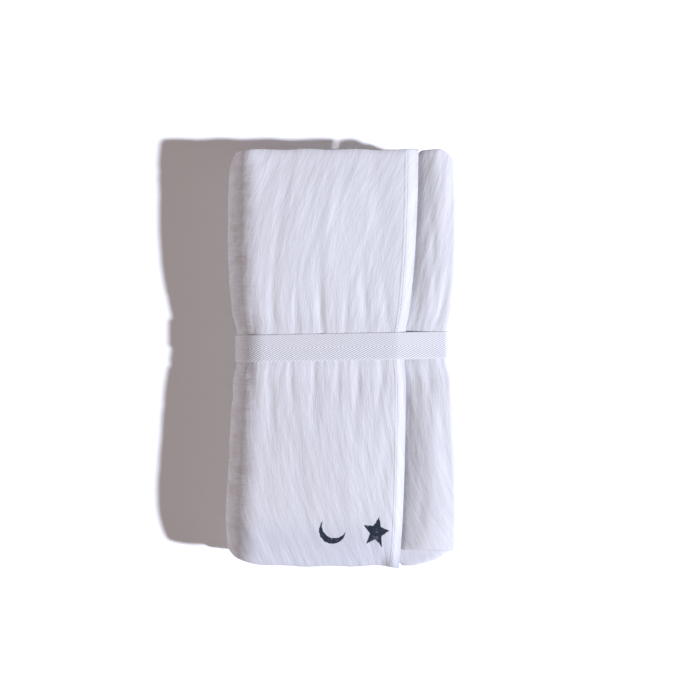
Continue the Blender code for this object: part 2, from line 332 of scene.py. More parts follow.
# %% Height of the bundle
Crown = namedtuple("Crown", "x height")
CROWN = (
    Crown(-0.070, 0.960),
    Crown(-0.045, 0.982),
    Crown(-0.020, 0.996),
    Crown(0.005, 1.000),
    Crown(0.028, 0.990),
    Crown(0.042, 0.980),
    Crown(0.056, 0.975),
    Crown(0.070, 0.940),
)
Swell = namedtuple("Swell", "x y width length rise")
SWELLS = (
    Swell(-0.030, 0.080, 0.022, 0.030, 0.020),
    Swell(0.018, 0.062, 0.018, 0.034, -0.016),
    Swell(-0.008, -0.070, 0.026, 0.030, 0.018),
    Swell(-0.048, -0.040, 0.014, 0.026, -0.020),
    Swell(0.024, -0.104, 0.016, 0.018, 0.016),
    Swell(0.058, -0.060, 0.012, 0.034, 0.022),
    Swell(0.060, 0.070, 0.012, 0.026, -0.018),
)

VALLEY_NEAR_X = 0.0355
VALLEY_FAR_X = 0.0490
VALLEY_SECTION_X = 0.0420
VALLEY_SHIFT_WIDTH = 0.0180
VALLEY_WIDTH = 0.0075
VALLEY_SINK = 0.04
VALLEY_KEPT_AT_WAIST = 0.35
WAIST_Y = 0.007
WAIST_FLAT = 0.0115
WAIST_REACH = 0.0165
WAIST_SINK = 0.10
DROOP_STARTS = 0.80
DROOP_NEAR = 0.04
DROOP_FAR = 0.05
DROOP_REACH = 0.1175


def valley_x(y):
    """Where the valley lies, as it runs a little askew from the near end to the far end."""
    return VALLEY_NEAR_X + (VALLEY_FAR_X - VALLEY_NEAR_X) * (y / BUNDLE_LENGTH + 0.5)


def waist(y, reach=WAIST_REACH):
    """1 under the tape, falling to 0 away from it."""
    away = np.maximum(np.abs(y - WAIST_Y) - WAIST_FLAT, 0) / reach
    return 1 / (1 + away**2)


def height_share(x, y):
    """How high the bundle stands at a place, as a share of its full height."""
    from_valley = x - valley_x(y)
    valley = np.exp(-((from_valley / VALLEY_WIDTH) ** 2)) * (1 - (1 - VALLEY_KEPT_AT_WAIST) * waist(y))
    reach = np.where(y < 0, outline_reach(x, "near"), outline_reach(x, "far"))
    toward_end = np.abs(y) / np.maximum(reach, DROOP_REACH)
    share = through(column(CROWN, "x"), column(CROWN, "height"), x)
    for swell in SWELLS:
        nearby = np.exp(-(((x - swell.x) / swell.width) ** 2) - ((y - swell.y) / swell.length) ** 2)
        share = share + swell.rise * nearby * (1 - waist(y))
    share = share * (1 - VALLEY_SINK * valley)
    share = share * (1 - WAIST_SINK * waist(y))
    droop = np.where(y < 0, DROOP_NEAR, DROOP_FAR)
    return share * (1 - droop * smooth_step((toward_end - DROOP_STARTS) / (1 - DROOP_STARTS)))


print(f"at the tape the bundle has {float(height_share(0.0, WAIST_Y)):.2f} of its full height")

# %% [markdown]
# A layer's own ends follow the outline, less how far that layer falls short, with a slight wave along them.
# Only the outer half of the layer's length is stretched or shortened, so its middle stays in place.

# %% Where a point of a layer lies along the bundle
ROLL_STARTS_X = 0.0360
ROLL_ENDS_WIDTH = 0.0060
END_SHAPE_STARTS = 0.50
END_WAVE = 0.00035
END_WAVE_LENGTH = 0.0047
END_WAVE_SHIFT = 2200  # radians of the wave for each metre that a layer falls short


def end_y(x, traits, station):
    """The place along the bundle of points whose station is their place along a straight strip."""
    near_short, far_short, near_roll, far_roll = (traits[..., k] for k in range(4))
    in_roll = smooth_step((x - ROLL_STARTS_X) / ROLL_ENDS_WIDTH)
    reach = {}
    for end, short, furthest in (("near", near_short, near_roll), ("far", far_short, far_roll)):
        body = outline_reach(x, end) - short
        reach[end] = body + in_roll * (np.minimum(outline_reach(x, end), furthest) - body)
        reach[end] = reach[end] + END_WAVE * np.sin(x / END_WAVE_LENGTH + short * END_WAVE_SHIFT)
    share = smooth_step((np.abs(station) / HALF_LENGTH - END_SHAPE_STARTS) / (1 - END_SHAPE_STARTS))
    short_of_end = HALF_LENGTH - np.where(station < 0, reach["near"], reach["far"])
    return station - np.sign(station) * share * short_of_end


sample_y = float(end_y(np.array(0.0), layer_traits(TOP_LAYER), np.array(-HALF_LENGTH)))
print(f"the face ends {-sample_y * 1000:.1f} mm towards the near end")

# %% [markdown]
# Four looser shapes finish the bundle. The face curls down over the near end. The wrap's far corner stands
# up. The hemmed edge sinks into the valley. Beside it the top loops of the roll puff up.

# %% Curled ends, the raised corner and the hemmed edge
CURL_FAR_STARTS = 0.119
CURL_FAR_DROP = 0.0012
CURL_ENDS_X = 0.040
CURL_FADE = 0.016
CURL_NEAR_STARTS = 0.108
CURL_NEAR_LENGTH = 0.0182
CURL_NEAR_DROP = 0.0120
CURL_STEEPEST = 0.99
EAR_X = -0.0620
EAR_WIDTH = 0.0075
EAR_STARTS_Y = 0.090
EAR_RISE = 0.0036
CURL_FOLLOWS = 1.5  # a higher power keeps the curl and the ear nearer the top layer as the wrap turns down
EAR_FOLLOWS = 3
EDGE_DIP = 0.0007
EDGE_DIP_STARTS_X = 0.0335
EDGE_THINNED = 0.35


def curl(x, y):
    """How far the top layer's ends roll down: well over the near end, and a little at the far end."""
    near = np.clip((-y - CURL_NEAR_STARTS) / CURL_NEAR_LENGTH, 0, CURL_STEEPEST)
    far = np.clip((y - CURL_FAR_STARTS) / (HALF_LENGTH - CURL_FAR_STARTS), 0, 1)
    rolled = CURL_NEAR_DROP * (1 - np.sqrt(1 - near**2)) + CURL_FAR_DROP * far**2
    return rolled * smooth_step((CURL_ENDS_X - x) / CURL_FADE)


def toward_edge(x):
    """0 on the face and 1 at its hemmed edge."""
    return smooth_step((x - EDGE_DIP_STARTS_X) / (OUTER_END_X - EDGE_DIP_STARTS_X))


def ear(x, y, top_share):
    """The wrap's far corner stands up square where the end of the cloth holds it open."""
    across = np.exp(-(((x - EAR_X) / EAR_WIDTH) ** 2))
    toward_far = smooth_step((y - EAR_STARTS_Y) / (HALF_LENGTH - EAR_STARTS_Y))
    return EAR_RISE * across * toward_far * top_share**EAR_FOLLOWS


print(f"the face's near end curls down {float(curl(0.0, -HALF_LENGTH)) * 1000:.1f} mm")

# %% [markdown]
# The puff is a table across the roll, and rise is for its top loop. It starts beside the valley and falls off
# to the right. It is nearly as high at the far end, and small under the tape.

# %% The puffed top loops of the roll
Puff = namedtuple("Puff", "x rise")
PUFF = (
    Puff(0.0360, 0.0),
    Puff(0.0398, 0.0010),
    Puff(0.0414, 0.0024),
    Puff(0.0433, 0.0033),
    Puff(0.0460, 0.0038),
    Puff(0.0490, 0.0041),
    Puff(0.0530, 0.0042),
    Puff(0.0580, 0.0039),
    Puff(0.0640, 0.0033),
    Puff(0.0700, 0.0026),
)
PUFF_FAR = 0.92
PUFF_AT_WAIST = 0.25


def puff(x, y, layer_share):
    """How far a loop of the roll puffs up."""
    toward_far = y / BUNDLE_LENGTH + 0.5
    kept = (1 + (PUFF_FAR - 1) * toward_far) * (1 - (1 - PUFF_AT_WAIST) * waist(y))
    return through(column(PUFF, "x"), column(PUFF, "rise"), x) * layer_share * kept


print(f"the roll's top puffs up {max(column(PUFF, 'rise')) * 1000:.1f} mm at most")

# %% [markdown]
# One function puts all of these together. It takes points of the straight strip and gives their places in the
# bundle, and both the blanket and the tape are made with it.

# %% From the straight strip to the bundle
TROUGH_DEPTH = 0.00135
TROUGH_FALL = 0.0060


def shaped(x, z, traits, station):
    """Points of the straight strip moved to where they lie in the bundle, as one array of x, y, z."""
    y = end_y(x, traits, station)
    near_valley = np.exp(-(((x - VALLEY_SECTION_X) / VALLEY_SHIFT_WIDTH) ** 2))
    skewed = x + (valley_x(y) - VALLEY_SECTION_X) * near_valley
    sides = column(SIDE_OUTLINE, "y")
    narrowed_left = through(sides, column(SIDE_OUTLINE, "left"), y) / SECTION_LEFT_X
    narrowed_right = through(sides, column(SIDE_OUTLINE, "right"), y) / SECTION_RIGHT_X
    trough = TROUGH_DEPTH * waist(y, TROUGH_FALL)
    puffed = z + puff(x, y, traits[..., PUFF_SHARE])
    stacked = layer_z(0) + trough + (puffed - layer_z(0)) * height_share(skewed, y)
    top_share = traits[..., IS_TOP]
    placed_z = stacked + ear(x, y, top_share) - curl(x, y) * top_share**CURL_FOLLOWS
    placed_z = placed_z - EDGE_DIP * toward_edge(x) * (top_share == 1)
    placed_x = skewed * np.where(skewed < 0, narrowed_left, narrowed_right)
    return np.stack([placed_x, y, placed_z], axis=-1)


waist_cut = shaped(path_x, path_z, path_traits, np.full(len(path_x), WAIST_Y))
print(f"at the tape the strip reaches {waist_cut[:, 2].max() * 1000:.1f} mm high")

# %% [markdown]
# ## The five plies across the strip
#
# Each layer of the bundle is five plies of cloth, because the square was rolled flat before the strip was
# folded. At the two ends of the bundle the plies turn over one another, small turns inside large ones. A row
# of the cloth therefore has two places: how far it is along the bundle, and how far it stands off the
# strip's middle line. The ply that faces outwards gets many rows, since its crinkles show.

# %% Rows of the cloth across the strip
PLY_PITCH = 0.0006
HIDDEN_STATIONS = (
    -0.1150, -0.1080, -0.0980, -0.0780, -0.0500, -0.0300, -0.0180, -0.0045,
    0.0185, 0.0300, 0.0450, 0.0700, 0.1000,
)  # fmt: skip
CLEAR_OF_TURN = 0.002
TURN_STEPS = 4
OUTER_PLY = 2
OUTER_PLY_ROWS = 104

# Each ply: its offset in ply pitches, and where its straight part starts and ends along the strip.
Ply = namedtuple("Ply", "offset starts ends")
PLIES = (
    Ply(0, -0.1000, 0.1212),
    Ply(1, 0.1212, -0.1200),
    Ply(-1, -0.1200, 0.1241),
    Ply(2, 0.1241, -0.1238),
    Ply(-2, -0.1238, 0.1040),
)


def ply_rows(ply):
    """The stations of one ply's straight part, in the order that the cloth runs."""
    if ply.offset == OUTER_PLY:
        return list(np.linspace(ply.starts, ply.ends, OUTER_PLY_ROWS))
    low, high = sorted((ply.starts, ply.ends))
    inner = [y for y in HIDDEN_STATIONS if low + CLEAR_OF_TURN < y < high - CLEAR_OF_TURN]
    return [ply.starts, *(inner if ply.starts < ply.ends else inner[::-1]), ply.ends]


def cloth_rows():
    """The station and the offset of every row of the cloth, as two arrays."""
    stations, offsets = [], []
    for ply, after in zip(PLIES, PLIES[1:] + (None,)):
        straight = ply_rows(ply)
        stations += straight
        offsets += [ply.offset * PLY_PITCH] * len(straight)
        if after:
            middle = (ply.offset + after.offset) * PLY_PITCH / 2
            radius = (after.offset - ply.offset) * PLY_PITCH / 2
            out = np.sign(ply.ends - ply.starts)
            for step in range(1, TURN_STEPS):
                angle = np.pi * step / TURN_STEPS
                stations.append(ply.ends + out * abs(radius) * np.sin(angle))
                offsets.append(middle - radius * np.cos(angle))
    return np.array(stations), np.array(offsets)


row_station, row_offset = cloth_rows()
row_v = np.concatenate([[0], np.cumsum(np.hypot(np.diff(row_station), np.diff(row_offset)))])
print(f"the cloth has {len(row_station)} rows and is {row_v[-1]:.3f} m wide, for a {CUT} m cloth")

# %% [markdown]
# ## Creases and crinkles
#
# Muslin is woven loosely, so it dries in fine lengthwise crinkles, and every pull leaves a mark. The main
# creases are listed one by one, as soft troughs or low ridges on the outer face: pleats that run out from
# under the tape, and short deep tucks where the wrap turns over the left side. The face is measured as it
# lies
# unrolled: x runs over the top and on round the left side. Between them a stretched noise makes the
# crinkles. Their lines bow to the left in the middle of the bundle, as the cloth was drawn taut there.

# %% Table of the main creases
FACE_LENGTH = 0.1595  # from the free edge over the top and on round the left side
face_x = OUTER_END_X - (path_s[-1] - path_s)
wrap_start = int(np.argmin(np.abs(face_x - (OUTER_END_X - FACE_LENGTH))))

# depth is how far a trough sinks, or with a minus sign how far a ridge stands up, in millimetres.
Crease = namedtuple("Crease", "x y angle length width depth")
FACE_CREASES = (
    # tucks on the left shoulder
    Crease(-0.0640, 0.104, 4, 0.0060, 0.0011, 0.55),
    Crease(-0.0650, 0.0945, -6, 0.0050, 0.0010, 0.40),
    Crease(-0.0635, 0.089, 3, 0.0070, 0.0012, 0.55),
    Crease(-0.0640, 0.0745, -3, 0.0060, 0.0011, 0.45),
    Crease(-0.0625, -0.0135, 5, 0.0085, 0.0013, 0.90),
    Crease(-0.0640, -0.038, -8, 0.0080, 0.0022, 0.45),
    Crease(-0.0660, -0.078, 10, 0.0090, 0.0030, 0.35),
    Crease(-0.0700, 0.030, -12, 0.0090, 0.0016, 0.70),
    Crease(-0.0760, 0.052, 8, 0.0110, 0.0026, 0.50),
    Crease(-0.0780, -0.022, 14, 0.0100, 0.0022, 0.60),
    Crease(-0.0760, -0.058, -6, 0.0120, 0.0030, 0.45),
    # pleats out from under the tape
    Crease(-0.0560, 0.026, 78, 0.0160, 0.0020, 0.50),
    Crease(-0.0440, 0.030, 84, 0.0220, 0.0026, 0.55),
    Crease(-0.0290, 0.026, 88, 0.0170, 0.0021, 0.40),
    Crease(-0.0140, 0.031, 91, 0.0240, 0.0028, 0.60),
    Crease(0.0020, 0.025, 90, 0.0150, 0.0020, 0.35),
    Crease(0.0140, 0.030, 95, 0.0220, 0.0027, 0.55),
    Crease(0.0270, 0.026, 99, 0.0170, 0.0022, 0.45),
    Crease(-0.0580, -0.014, 104, 0.0150, 0.0020, 0.55),
    Crease(-0.0460, -0.017, 98, 0.0200, 0.0025, 0.50),
    Crease(-0.0330, -0.013, 94, 0.0160, 0.0020, 0.45),
    Crease(-0.0180, -0.019, 92, 0.0240, 0.0028, 0.60),
    Crease(-0.0030, -0.013, 89, 0.0150, 0.0020, 0.40),
    Crease(0.0090, -0.018, 86, 0.0220, 0.0026, 0.55),
    Crease(0.0240, -0.014, 82, 0.0180, 0.0022, 0.45),
    # long soft troughs and ridges down the face
    Crease(-0.0380, 0.085, 82, 0.0300, 0.0042, 0.35),
    Crease(-0.0080, 0.078, 88, 0.0340, 0.0050, -0.30),
    Crease(0.0210, 0.088, 97, 0.0300, 0.0046, 0.35),
    Crease(-0.0260, -0.072, 99, 0.0320, 0.0050, 0.35),
    Crease(0.0040, -0.078, 93, 0.0340, 0.0048, -0.30),
    Crease(0.0260, -0.066, 84, 0.0300, 0.0044, 0.35),
    Crease(-0.0520, -0.108, 118, 0.0120, 0.0032, -0.45),
    Crease(-0.0500, 0.112, 62, 0.0110, 0.0032, -0.35),
)
ROLL_CREASES = (
    Crease(0.0520, 0.060, 96, 0.0350, 0.0028, 0.40),
    Crease(0.0600, 0.026, 84, 0.0180, 0.0022, 0.45),
    Crease(0.0540, -0.016, 92, 0.0180, 0.0024, 0.45),
    Crease(0.0610, -0.050, 96, 0.0320, 0.0026, 0.35),
    Crease(0.0500, -0.088, 88, 0.0200, 0.0026, 0.35),
    Crease(0.0590, 0.100, 80, 0.0160, 0.0028, -0.35),
)
print("creases:", len(FACE_CREASES), "on the face and", len(ROLL_CREASES), "on the roll")

# %% [markdown]
# Each crease is a soft long dent, a Gaussian narrow across and long along it. The crinkles are two sizes of
# stretched noise, and the broad one sways the fine one a little, so that they run together.

# %% Creases and crinkles as a small push off the strip's middle
CRINKLE_BOW = 0.028
CRINKLE_SWAY = 0.0012
Crinkle = namedtuple("Crinkle", "across along height seed")
BROAD = Crinkle(0.0042, 0.024, 0.00020, 3.1)
FINE = Crinkle(0.0020, 0.011, 0.00011, 8.7)


def creased(x, y, creases):
    """How far the creases push the cloth inwards at places on its face."""
    pushed = np.zeros(np.broadcast(x, y).shape)
    for crease in creases:
        angle = np.radians(crease.angle)
        along = (x - crease.x) * np.cos(angle) + (y - crease.y) * np.sin(angle)
        across = (y - crease.y) * np.cos(angle) - (x - crease.x) * np.sin(angle)
        bump = np.exp(-((along / crease.length) ** 2) - (across / crease.width) ** 2)
        pushed += crease.depth * MM * bump
    return pushed


def stretched_noise(x, y, crinkle):
    """Smooth noise whose lumps are narrow across the bundle and long along it."""
    flat = zip(np.ravel(x) / crinkle.across, np.ravel(y) / crinkle.along)
    return np.array([noise.noise(Vector((a, b, crinkle.seed))) for a, b in flat]).reshape(np.shape(x))


def crinkled(x, y):
    """How far the crinkles push the cloth inwards, less than nothing where they stand up."""
    bowed = x - CRINKLE_BOW * (y / HALF_LENGTH) ** 2
    broad = stretched_noise(bowed, y, BROAD)
    fine = stretched_noise(bowed + CRINKLE_SWAY * broad, y, FINE)
    return BROAD.height * broad + FINE.height * fine


print(f"crinkles {BROAD.across / MM:.1f} and {FINE.across / MM:.1f} mm wide")


# %% [markdown]
# ## The blanket
#
# The blanket starts as what it is, one flat square of cloth, made as a grid with a row for each row above and
# a column for each point of the strip's cut. Every point is then moved to where the folded cloth has it:
# to its place on the strip's middle line, and off it by its ply's offset. The grid keeps a UV map of the flat
# cloth, so the weave and the print follow the folds. Solidify gives it its thickness.

# %% Where each point of the cloth goes
NORMAL_STEP = 0.0002
FACE_FADE = 0.020
ROLL_TIP_X = 0.0655
ROLL_OVERLAP = 4  # how many points past the roll's tip still count as its face
QUIET = 0.35  # how strongly the hidden layers crinkle, against the layers that show
FLOOR_ZONE = 0.0005  # the lowest layer stays smooth, so the bundle lies flat


def strip_middle(station):
    """The strip's middle at each row's station and each column's point: an array of rows, columns, x y z."""
    stations = np.broadcast_to(station[:, None], (len(station), len(path_x)))
    return shaped(path_x[None, :], path_z[None, :], path_traits[None, :, :], stations)


def outward(station):
    """The direction that faces out of the bundle on the outer ply."""
    along_path = np.gradient(strip_middle(station), axis=1)
    along_bundle = strip_middle(station + NORMAL_STEP) - strip_middle(station - NORMAL_STEP)
    out = np.cross(along_path, along_bundle)
    return out / np.linalg.norm(out, axis=-1, keepdims=True)


def pushed_in(middle):
    """How far the creases and crinkles push each point of the strip inwards."""
    y = middle[..., 1]
    x = np.broadcast_to(face_x, y.shape)
    on_face = smooth_step((face_x - face_x[wrap_start]) / FACE_FADE)
    first_run = np.arange(len(path_x)) < int(np.argmax(path_x > ROLL_TIP_X)) + ROLL_OVERLAP
    on_roll = np.where(first_run, smooth_step((path_x - ROLL_STARTS_X) / ROLL_ENDS_WIDTH), 0)
    pushed = creased(x, y, FACE_CREASES) * on_face
    pushed += creased(np.broadcast_to(path_x, y.shape), y, ROLL_CREASES) * on_roll
    lively = QUIET + (1 - QUIET) * np.maximum(on_face, on_roll)
    flat_below = 1 - (path_z < layer_z(0) + FLOOR_ZONE) * 1.0
    return pushed + crinkled(x, y) * lively * flat_below


middle = strip_middle(row_station)
ply_offset = row_offset[:, None] * (1 - EDGE_THINNED * toward_edge(face_x))
folded = middle + outward(row_station) * (ply_offset - pushed_in(middle))[..., None]
print("the folded cloth is", np.round(np.ptp(folded, axis=(0, 1)), 3), "m in all")

# %% [markdown]
# The grid's points are told apart by their places before any is moved. Its smooth shading stops at sharp
# angles, so the cut edges stay crisp.

# %% Fold the flat cloth
CLOTH_THICKNESS = 0.0003
SHARP_ANGLE = np.radians(50)
bpy.ops.object.select_all(action="DESELECT")
bpy.ops.mesh.primitive_grid_add(x_subdivisions=len(path_x) - 1, y_subdivisions=len(row_station) - 1, size=CUT)
blanket = bpy.context.object
blanket.name = "muslin_blanket"
flat = np.array([point.co for point in blanket.data.vertices])
at_column = np.rint((flat[:, 0] / CUT + 0.5) * (len(path_x) - 1)).astype(int)
at_row = np.rint((flat[:, 1] / CUT + 0.5) * (len(row_station) - 1)).astype(int)

blanket.data.vertices.foreach_set("co", folded[at_row, at_column].ravel())

cloth_map = blanket.data.uv_layers[0]
cloth_map.name = "flat_cloth"
corner_vertex = np.array([loop.vertex_index for loop in blanket.data.loops])
flat_uv = np.stack([path_s[at_column] / path_s[-1], row_v[at_row] / row_v[-1]], axis=1)[corner_vertex]
cloth_map.uv.foreach_set("vector", flat_uv.astype(np.float32).ravel())

solidify = blanket.modifiers.new("cloth thickness", "SOLIDIFY")
solidify.thickness = CLOTH_THICKNESS
solidify.offset = 0
bpy.ops.object.modifier_apply(modifier=solidify.name)
bpy.ops.object.shade_smooth_by_angle(angle=SHARP_ANGLE)
print("the blanket has", len(blanket.data.polygons), "faces")

# %% [markdown]
# ## The twill tape
#
# The tape is a woven cotton ribbon, 16 mm wide, pulled tight round the bundle. Its path is the shortest loop
# round the outside of the layers at the waist, which is their convex hull with round corners. The ribbon is
# a long flat grid bent round that loop and joined into a ring. Its herringbone ribs are real, low ridges
# that slope one way on its near half and the other way on its far half.

# %% The tape's taut loop
TAPE_WIDTH = 0.016
TAPE_THICKNESS = 0.0006
TAPE_GAP = 0.00022
TAPE_REACH = 0.6  # in tape widths each way, where the loop is kept clear of the cloth
CORNER_STEPS = 36


def tape_corners():
    """The corners of the taut loop, in order."""
    out = 2 * PLY_PITCH + CLOTH_THICKNESS / 2 + TAPE_GAP + TAPE_THICKNESS / 2
    around = []
    for station in (WAIST_Y - TAPE_WIDTH * TAPE_REACH, WAIST_Y, WAIST_Y + TAPE_WIDTH * TAPE_REACH):
        cut = shaped(path_x, path_z, path_traits, np.full(len(path_x), station))
        for turned in np.linspace(0, 2 * np.pi, CORNER_STEPS, endpoint=False):
            around += [(x + out * np.cos(turned), z + out * np.sin(turned)) for x, _, z in cut]
    return np.array([around[corner] for corner in convex_hull_2d(around)])


corners = tape_corners()
loop = np.vstack([corners, corners[:1]])
loop_along = np.concatenate([[0], np.cumsum(np.linalg.norm(np.diff(loop, axis=0), axis=1))])
tape_length = loop_along[-1]
print(f"the tape's loop has {len(corners)} corners and is {tape_length:.3f} m round")

# %% [markdown]
# The grid is bent along the loop and each point lifted outwards by its rib. The ends then meet, so their
# doubled points are merged before the ribbon gets its thickness.

# %% Wrap the ribbed ribbon round the waist
TAPE_TILT = 0.019
RIB_PITCH = 0.0024  # along the tape
RIB_SPACING = 0.00125  # across it, so the ribs lean closer to its length
RIB_HEIGHT = 0.00011
SELVEDGE_STARTS = 0.46  # in tape widths from its middle line
SELVEDGE_FALL = 0.04
SELVEDGE_SINK = 0.00018
TAPE_ROWS = 50
STEPS_PER_RIB = 5
LOOK = 0.0012  # how far ahead and behind the direction of the loop is measured
ribs = int(round(tape_length / RIB_PITCH))
bpy.ops.object.select_all(action="DESELECT")
bpy.ops.mesh.primitive_grid_add(x_subdivisions=ribs * STEPS_PER_RIB, y_subdivisions=TAPE_ROWS, size=1)
tape = bpy.context.object
tape.name = "twill_tape"
ribbon = np.array([point.co for point in tape.data.vertices])
along = (ribbon[:, 0] + 0.5) * tape_length
across = ribbon[:, 1] * TAPE_WIDTH
x, z = (np.interp(along, loop_along, loop[:, k]) for k in (0, 1))
ahead, behind = (along + LOOK) % tape_length, (along - LOOK) % tape_length
run_x = np.interp(ahead, loop_along, loop[:, 0]) - np.interp(behind, loop_along, loop[:, 0])
run_z = np.interp(ahead, loop_along, loop[:, 1]) - np.interp(behind, loop_along, loop[:, 1])
size = np.hypot(run_x, run_z)
anticlockwise = np.sign(np.sum(loop[:-1, 0] * loop[1:, 1] - loop[1:, 0] * loop[:-1, 1]))
out_x, out_z = anticlockwise * run_z / size, -anticlockwise * run_x / size
rib_phase = 2 * np.pi * (ribs * along / tape_length - np.abs(across) / RIB_SPACING)
edge_fall = smooth_step((np.abs(across) / TAPE_WIDTH - SELVEDGE_STARTS) / SELVEDGE_FALL)
lift = RIB_HEIGHT * np.cos(rib_phase) * (1 - edge_fall) - SELVEDGE_SINK * edge_fall
y = WAIST_Y + TAPE_TILT * x + across
wrapped = np.stack([x + out_x * lift, y, z + out_z * lift], axis=1)
tape.data.vertices.foreach_set("co", wrapped.ravel())
bpy.ops.object.mode_set(mode="EDIT")
bpy.ops.mesh.select_all(action="SELECT")
bpy.ops.mesh.remove_doubles(threshold=0.00001)
bpy.ops.mesh.normals_make_consistent(inside=False)
bpy.ops.object.mode_set(mode="OBJECT")
tape.data.uv_layers[0].name = "along_tape"
solidify = tape.modifiers.new("tape thickness", "SOLIDIFY")
solidify.thickness = TAPE_THICKNESS
solidify.offset = 0
bpy.ops.object.modifier_apply(modifier=solidify.name)
bpy.ops.object.shade_smooth_by_angle(angle=SHARP_ANGLE)
print(f"the tape is {tape_length:.3f} m round with {ribs} ribs and {len(tape.data.polygons)} faces")

# %% [markdown]
# ## Muslin
#
# Muslin is a plain weave of thin, uneven cotton threads. The finish reads the flat cloth's UV map in
# millimetres, so threads run along and across the real cloth and turn with its folds.

# %% Helpers for building materials
class Nodes:
    """A few short ways to add nodes to one material."""

    def __init__(self, material):
        material.use_nodes = True
        self.tree = material.node_tree
        self.shader = self.tree.nodes["Principled BSDF"]

    def add(self, kind, **settings):
        node = self.tree.nodes.new(kind)
        for name, value in settings.items():
            setattr(node, name, value)
        return node

    def plug(self, value, socket):
        if isinstance(value, bpy.types.NodeSocket):
            self.tree.links.new(value, socket)
        else:
            socket.default_value = value

    def math(self, operation, a, b=0.0, c=0.0):
        node = self.add("ShaderNodeMath", operation=operation)
        for value, socket in zip((a, b, c), node.inputs):
            self.plug(value, socket)
        return node.outputs[0]

    def vector(self, x, y, z=0.0):
        node = self.add("ShaderNodeCombineXYZ")
        for value, socket in zip((x, y, z), node.inputs):
            self.plug(value, socket)
        return node.outputs[0]

    def noise(self, vector, scale=1.0, detail=2.0, roughness=0.5):
        node = self.add("ShaderNodeTexNoise")
        self.plug(vector, node.inputs["Vector"])
        node.inputs["Scale"].default_value = scale
        node.inputs["Detail"].default_value = detail
        node.inputs["Roughness"].default_value = roughness
        return node.outputs["Fac"]

    def stretched(self, x, x_size, y, y_size, layer, detail):
        """Noise whose lumps measure x_size by y_size, from its own layer of the noise."""
        place = self.vector(self.math("DIVIDE", x, x_size), self.math("DIVIDE", y, y_size), layer)
        return self.noise(place, detail=detail)

    def ramp(self, value, start, end):
        """0 at start, 1 at end, and smooth between."""
        node = self.add("ShaderNodeMapRange", interpolation_type="SMOOTHSTEP")
        for number, socket in zip((value, start, end), node.inputs):
            self.plug(number, socket)
        return node.outputs["Result"]

    def mix(self, factor, a, b):
        node = self.add("ShaderNodeMix", data_type="RGBA")
        self.plug(factor, node.inputs["Factor"])
        self.plug(a, node.inputs["A"])
        self.plug(b, node.inputs["B"])
        return node.outputs["Result"]

    def bump(self, height, distance, strength, normal=None):
        node = self.add("ShaderNodeBump")
        node.inputs["Strength"].default_value = strength
        node.inputs["Distance"].default_value = distance
        self.plug(height, node.inputs["Height"])
        if normal is not None:
            self.plug(normal, node.inputs["Normal"])
        return node.outputs["Normal"]


def map_in_mm(nodes, uv_name, width, length):
    """The two coordinates of a UV map, in millimetres on the flat cloth."""
    source = nodes.add("ShaderNodeUVMap", uv_map=uv_name)
    split = nodes.add("ShaderNodeSeparateXYZ")
    nodes.plug(source.outputs["UV"], split.inputs[0])
    across = nodes.math("MULTIPLY", split.outputs["X"], width / MM)
    along = nodes.math("MULTIPLY", split.outputs["Y"], length / MM)
    return across, along


print("helpers ready")

# %% [markdown]
# The two maps are turned so that 0, 0 is the middle of the bundle on the face. Two stretched noises follow
# the crinkles and vary the tone, darker in their troughs: partly the cloth's own uneven tone and partly
# painted shade in the troughs. Two finer ones are the threads across and along.

# %% Muslin's threads, and its tone with painted shade in the crinkles
outer_rows = np.where(row_offset == OUTER_PLY * PLY_PITCH)[0]
FACE_V = float(np.interp(0.0, row_station[outer_rows][::-1], row_v[outer_rows][::-1])) / row_v[-1] * CUT / MM
FACE_U = CUT / MM - OUTER_END_X / MM

CLOTH_LIGHT = (0.68, 0.68, 0.70, 1)
CLOTH_DARK_AND_TROUGH_SHADE = (0.60, 0.60, 0.63, 1)

muslin = bpy.data.materials.new("white muslin")
cloth = Nodes(muslin)
u, v = map_in_mm(cloth, "flat_cloth", CUT, CUT)
x_mm = cloth.math("SUBTRACT", u, FACE_U)
y_mm = cloth.math("SUBTRACT", FACE_V, v)
toward_tip = cloth.math("DIVIDE", y_mm, HALF_LENGTH / MM)
bow = cloth.math("MULTIPLY", cloth.math("POWER", toward_tip, 2.0), CRINKLE_BOW / MM)
bowed = cloth.math("SUBTRACT", x_mm, bow)
broad = cloth.stretched(bowed, 2.6, y_mm, 14.0, 0.0, detail=2.0)
fine = cloth.stretched(bowed, 0.9, y_mm, 5.0, 5.0, detail=3.0)
threads_across = cloth.stretched(x_mm, 6.0, y_mm, 0.45, 9.0, detail=1.0)
threads_along = cloth.stretched(x_mm, 0.42, y_mm, 7.0, 13.0, detail=1.0)
weave = cloth.math("ADD", threads_across, threads_along)
# the cloth's own uneven tone, and painted shade where the crinkles' troughs lie
crinkle_tone_and_shade = cloth.math("MULTIPLY_ADD", fine, 0.5, cloth.math("MULTIPLY", broad, 0.5))
cloth_colour = cloth.mix(crinkle_tone_and_shade, CLOTH_DARK_AND_TROUGH_SHADE, CLOTH_LIGHT)
print("muslin's thread and crinkle patterns made")

# %% [markdown]
# Towards the near end the face is painted a little cooler and darker: painted shade, for the shade and the
# cool light that fall on the near end. Each ramp below starts and ends at a place in millimetres, so the
# change is gradual, and it stays off the plies that lie under the face.

# %% Painted shade: a cooler, darker near end
NEAR_END_PAINTED_SHADE = (0.56, 0.57, 0.62, 1)
NEAR_END_SHADE_SHARE = 0.75
